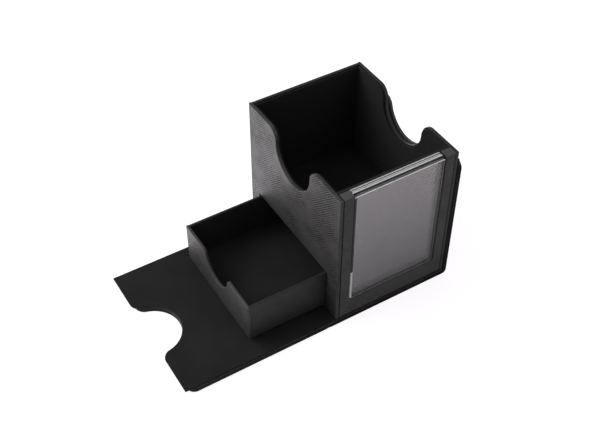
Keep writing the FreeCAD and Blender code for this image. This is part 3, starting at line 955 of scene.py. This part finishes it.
def markPaintedShadeAndHighlights(bm, width, thickness):
    # painted shade and light: the dark strip behind the front sheet, a painted highlight low on its
    # left edge with painted shade above, and a painted highlight on its foot
    inset, edge, lean = width / 2 - holder["shadeStrip"], holder["frontEdge"], share["none"]
    strip = holder["leftStrip"] - width / 2
    cutAcross(bm, 0, (inset, -inset, strip))
    cutAcross(bm, 1, (holder["shadeStrip"], holder["litFoot"]))
    for face in bm.faces:
        middle = face.calc_center_median()
        atBack = middle.z > thickness - holder["shadeStripDepth"]
        atFront = middle.z < edge
        if atBack and (abs(middle.x) > inset or middle.y < holder["shadeStrip"]):
            face.material_index = holderTones["shadeStrip"]
        # painted highlight low on the left edge, painted shade above it
        elif middle.x < strip and atFront and abs(face.normal.z) > lean:
            face.material_index = holderTones["light" if middle.y < holder["litFoot"] else "dim"]
        # painted highlight on the rounded foot
        elif middle.y < edge and atFront and face.normal.y < -lean:
            face.material_index = holderTones["foot"]


def markCutTop(bm, height, edge):
    # the flat of the top edge is frosted, with painted light and shade across it; its rounding
    # towards the window carries a painted highlight
    for face in bm.faces:
        middle = face.calc_center_median()
        if face.normal.y > share["little"] and middle.y > height - 2 * edge:
            rounded = middle.z < edge and abs(face.normal.z) > share["none"]
            face.material_index = holderTones["light" if rounded else "cut"]


def markSlot(bm, height):
    # painted shade: the dark strip down the slot, on the sheet's face
    foot = height - holder["slot"]
    cutAcross(bm, 1, (foot,))
    for face in bm.faces:
        if face.normal.z < -share["nearlyAll"] and face.calc_center_median().y > foot:
            face.material_index = holderTones["dim"]


def goesThrough(edge):
    # an edge straight through the sheet
    first, second = edge.verts
    return (first.co - second.co).xy.length < boardShape["hair"]


def makeHolder():
    # frosted materials carrying the painted highlight, the painted shade and the foot's painted
    # highlight
    edges = [makeFrosted(name, holder[name], holder[name], 1 * mm)
             for name in ("edgeHighlight", "edgeShade", "footHighlight")]
    for name, node, edge in (("holderFront", "holder_front_sheet", holder["frontEdge"]),
                             ("holderMiddle", "holder_middle_sheet", holder["middleEdge"]),
                             ("holderBack", "holder_back_sheet", holder["backEdge"])):
        width, height, thickness, place = holderPlace(node)
        if name == "holderFront":
            height -= holder["frontDrop"]
        bm = makeBoard(width, height, thickness, 0, 0)
        corners = [item for item in bm.edges if goesThrough(item)]
        bevelRound(bm, corners, holder["corner"], holder["cornerSegments"])
        roundRim(bm, 0, edge, boardShape["outerSegments"])
        roundRim(bm, thickness, edge * holder["backShare"], boardShape["innerSegments"])
        if name == "holderFront":
            markPaintedShadeAndHighlights(bm, width, thickness)
        if name == "holderMiddle":
            markSlot(bm, height)
        markCutTop(bm, height, edge)
        piece = finishPiece(name, bm, clearSheet, [node], place)
        cut = makeFrosted(f"{name}Cut", *holder["frostAndLightTones"][name], height)
        for material in (shadeStripBlack, cut, *edges):
            piece.data.materials.append(material)
    for name, node in (("holderRim", "holder_rim"), ("holderBackRim", "holder_back_rim")):
        width, height, thickness, place = holderPlace(node)
        window = {"width": width - 2 * holder["rimWidth"], "corner": holder["rimCorner"],
                  "depth": height - holder["rimWidth"]}
        bm = makeBoard(width, height, thickness, holder["rimEdge"], holder["rimEdge"],
                       window=window)
        finishPiece(name, bm, clearSheet, [node], place)


makeHolder()
print("card holder ready")


# ---- the drawer

drawer = {
    "edge": 0.5 * mm,
    "innerEdge": 0.4 * mm,
    "liningEdge": 0.15 * mm,
    "liningDrop": 1.0 * mm,
    "lining": 0.5 * mm,
}
drawerNotch = {"radius": 15.2 * mm, "drop": 1.5 * mm, "lip": 4 * mm, "steps": 36}


def makeDrawer():
    edge, innerEdge = drawer["edge"], drawer["innerEdge"]
    # the end wall takes a lit copy of the leather, the other walls and the floor shaded ones:
    # painted light and shade
    for name, node, facing, leather, notch in (
            ("drawerEnd", "drawer_end_wall", "left", leatherPull, drawerNotch),
            ("drawerRear", "drawer_rear_wall", "right", leatherDown, None),
            ("drawerFront", "drawer_front_side", "front", leatherSide, None),
            ("drawerBack", "drawer_back_side", "back", leatherDown, None)):
        coverBoard(name, node, facing, leather, "leatherette", edge, innerEdge, notch=notch)
    coverBoard("drawerFloor", "drawer_floor", "down", leatherDown, "board", innerEdge,
               drawer["liningEdge"])


def makeDrawerLining():
    edge, thickness = drawer["liningEdge"], drawer["lining"]
    low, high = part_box("drawer_wall_lining")
    middle = (low + high) / 2
    height = high.z - low.z
    drop = drawer["liningDrop"]
    notch = {"radius": drawerNotch["radius"] + drop, "drop": drawerNotch["drop"] - drop,
             "lip": drawerNotch["lip"] - drop, "steps": drawerNotch["steps"]}
    sides = (("End", "left", high.y - low.y, (low.x, middle.y, low.z), notch),
             ("Rear", "right", high.y - low.y, (high.x, middle.y, low.z), None),
             ("Front", "front", high.x - low.x - 2 * thickness, (middle.x, low.y, low.z), None),
             ("Back", "back", high.x - low.x - 2 * thickness, (middle.x, high.y, low.z), None))
    for side, facing, width, origin, cut in sides:
        bm = makeBoard(width, height, thickness, edge, edge, notch=cut)
        finishPiece(f"drawerLining{side}", bm, liningNap, ["drawer_wall_lining"],
                    facingMatrix(facing, Vector(origin)))
    coverBoard("drawerFloorLining", "drawer_floor_lining", "down", liningNap, "microfibre",
               edge, edge)


makeDrawer()
makeDrawerLining()
print("drawer ready")


# ---- the wrap cover

cover = {
    "edge": 0.5 * mm,
    "innerEdge": 0.3 * mm,
    "liningEdge": 0.35 * mm,
    "corner": 6 * mm,
}
outerNotch = {"radius": 21 * mm, "drop": -0.4 * mm, "lip": 8 * mm, "steps": 48}
innerNotch = {"radius": 21.6 * mm, "drop": 2.6 * mm, "lip": 7.4 * mm, "steps": 48}

crease = {  # where the board's edge shows through the flap's lining, round the notch
    "radius": 25.5 * mm,
    "halfWidth": 1.3 * mm,
    "depth": 0.3 * mm,
    "middle": math.radians(52),
    "spread": math.radians(34),
    "cell": 1.4 * mm,
    "reach": 4,  # in half widths
}


def sliceBoard(bm, axis, low, high, step):
    cutAcross(bm, axis, [low + index * step for index in range(1, int((high - low) / step) + 1)])


def pressCrease(bm, height, thickness):
    centreY = height - innerNotch["drop"]
    for vert in bm.verts:
        if vert.co.z < thickness / 2:
            continue
        along, out = vert.co.x, vert.co.y - centreY
        off = (math.hypot(along, out) - crease["radius"]) / crease["halfWidth"]
        turn = (math.atan2(along, -out) - crease["middle"]) / crease["spread"]
        vert.co.z -= crease["depth"] * math.exp(-off * off) * math.exp(-turn * turn)


def makeFlapLining():
    edge = cover["liningEdge"]
    width, height, thickness, origin = boardPlace("flap_lining", "down")
    bm = makeBoard(width, height, thickness, edge, edge, notch=innerNotch, square=(0,))
    reach = crease["radius"] + crease["reach"] * crease["halfWidth"]
    sliceBoard(bm, 0, -reach, reach, crease["cell"])
    sliceBoard(bm, 1, height - innerNotch["drop"] - reach, height, crease["cell"])
    pressCrease(bm, height, thickness)
    finishPiece("flapLining", bm, liningNap, ["flap_lining"],
                facingMatrix("down", origin))


def makeCover():
    edge, innerEdge, liningEdge = cover["edge"], cover["innerEdge"], cover["liningEdge"]
    low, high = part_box("cover_base_board")
    # the boards take the lit copy of the leather and the darkest copy on their edges: painted light
    # and shade
    coverBoard("baseBoard", "cover_base_board", "down", leatherUp, "leatherette", edge, innerEdge,
               ends=leatherEdge, square=(0, high.x - low.x))
    coverBoard("baseLining", "cover_base_lining", "down", liningNap, "microfibre",
               liningEdge, liningEdge, square=(0, high.x - low.x))
    for name, facing in (("flap", "down"), ("leg", "right")):
        coverBoard(f"{name}Board", f"{name}_board", facing, leatherUp, "leatherette", edge,
                   innerEdge, ends=leatherEdge, allSides=name == "flap", notch=outerNotch,
                   corner=cover["corner"], square=(0,))
    coverBoard("legLining", "leg_lining", "right", liningNap, "microfibre", liningEdge, liningEdge,
               notch=innerNotch, square=(0,))
    makeFlapLining()


# ---- the living hinges

hinge = {
    "strips": 10,
    "flapGroove": 0.35 * mm,
    "legInside": 0.45 * mm,
    "legSteps": 12,
}


def pinchStrip(bm, length, thickness, top, bottom):
    # a shallow valley along the middle of the strip
    for vert in bm.verts:
        swell = math.sin(math.pi * min(max(vert.co.y / length, 0), 1)) ** 2
        if vert.co.z > thickness / 2:
            vert.co.z -= top * swell
        else:
            vert.co.z += bottom * swell


def makeFlapHinge():
    skinLow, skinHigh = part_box("flap_hinge_skin")
    liningLow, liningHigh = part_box("flap_hinge_lining")
    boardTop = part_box("flap_board")[1].z
    length = skinHigh.x - skinLow.x
    layers = (("flapHinge", "flap_hinge_skin", "leatherette", leatherUp,
               skinHigh.y - skinLow.y, skinLow.z, boardTop,
               cover["edge"], cover["innerEdge"], 0.0, hinge["flapGroove"]),
              ("flapHingeLining", "flap_hinge_lining", "microfibre", liningNap,
               liningHigh.y - liningLow.y, boardTop, liningHigh.z,
               cover["liningEdge"], cover["liningEdge"], hinge["flapGroove"], 0.0))
    for name, node, slot, material, width, foot, top, outer, inner, topGroove, footGroove in layers:
        thickness = top - foot
        bm = makeBoard(width, length, thickness, outer, inner, square=(0, length))
        sliceBoard(bm, 1, 0, length, length / hinge["strips"])
        pinchStrip(bm, length, thickness, topGroove, footGroove)
        if material is leatherUp:
            markEnds(bm, width)
        piece = finishPiece(name, bm, material, [node],
                            facingMatrix("down", Vector((skinHigh.x, 0, foot))), ride=False)
        piece.data.materials.append(leatherEdge)
        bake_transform(piece)


def makeLegHinge():
    low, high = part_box("leg_hinge_skin")
    inside, radius, edge = hinge["legInside"], high.z - low.z, cover["edge"]
    bm = bmesh.new()
    bmesh.ops.create_grid(bm, x_segments=1, y_segments=1, size=1)
    half = Vector(((radius - inside) / 2, (high.y - low.y) / 2, 1))
    bmesh.ops.scale(bm, vec=half, verts=bm.verts)
    outerCorners = [vert for vert in bm.verts if vert.co.x > 0]
    bevelRound(bm, outerCorners, edge, boardShape["outerSegments"], affect="VERTICES")
    bmesh.ops.translate(bm, verts=bm.verts, vec=((radius + inside) / 2, 0, 0))
    # stand the section up under the hinge line, then swing it round to the leg
    place = Matrix.Translation((low.x, 0, high.z)) @ Matrix.Rotation(math.radians(90), 4, "Y")
    bmesh.ops.transform(bm, matrix=place, verts=bm.verts)
    bmesh.ops.spin(bm, geom=bm.verts[:] + bm.edges[:] + bm.faces[:], cent=(low.x, 0, high.z),
                   axis=(0, 1, 0), angle=math.radians(-90), steps=hinge["legSteps"])
    bmesh.ops.recalc_face_normals(bm, faces=bm.faces[:])
    layer = bm.loops.layers.uv.new("surface")
    for face in bm.faces:
        for loop in face.loops:
            spot = loop.vert.co
            swing = math.atan2(spot.x - low.x, high.z - spot.z)
            loop[layer].uv = (spot.y, swing * radius)
        face.material_index = 1 if abs(face.normal.y) > share["most"] else 0
    piece = finishPiece("legHinge", bm, leatherUp, ["leg_hinge_skin"], ride=False)
    piece.data.materials.append(leatherEdge)
    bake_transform(piece)


makeCover()
makeFlapHinge()
makeLegHinge()
print("cover and hinges ready")


# ---- the parts that keep their plain form

def dressPlainParts():
    # the magnets, hidden in the boards
    for name, node in frame["nodes"].items():
        if node.hide_render:
            continue
        node.data.materials.clear()
        node.data.materials.append(nickel)
        print("kept as built:", name)


dressPlainParts()
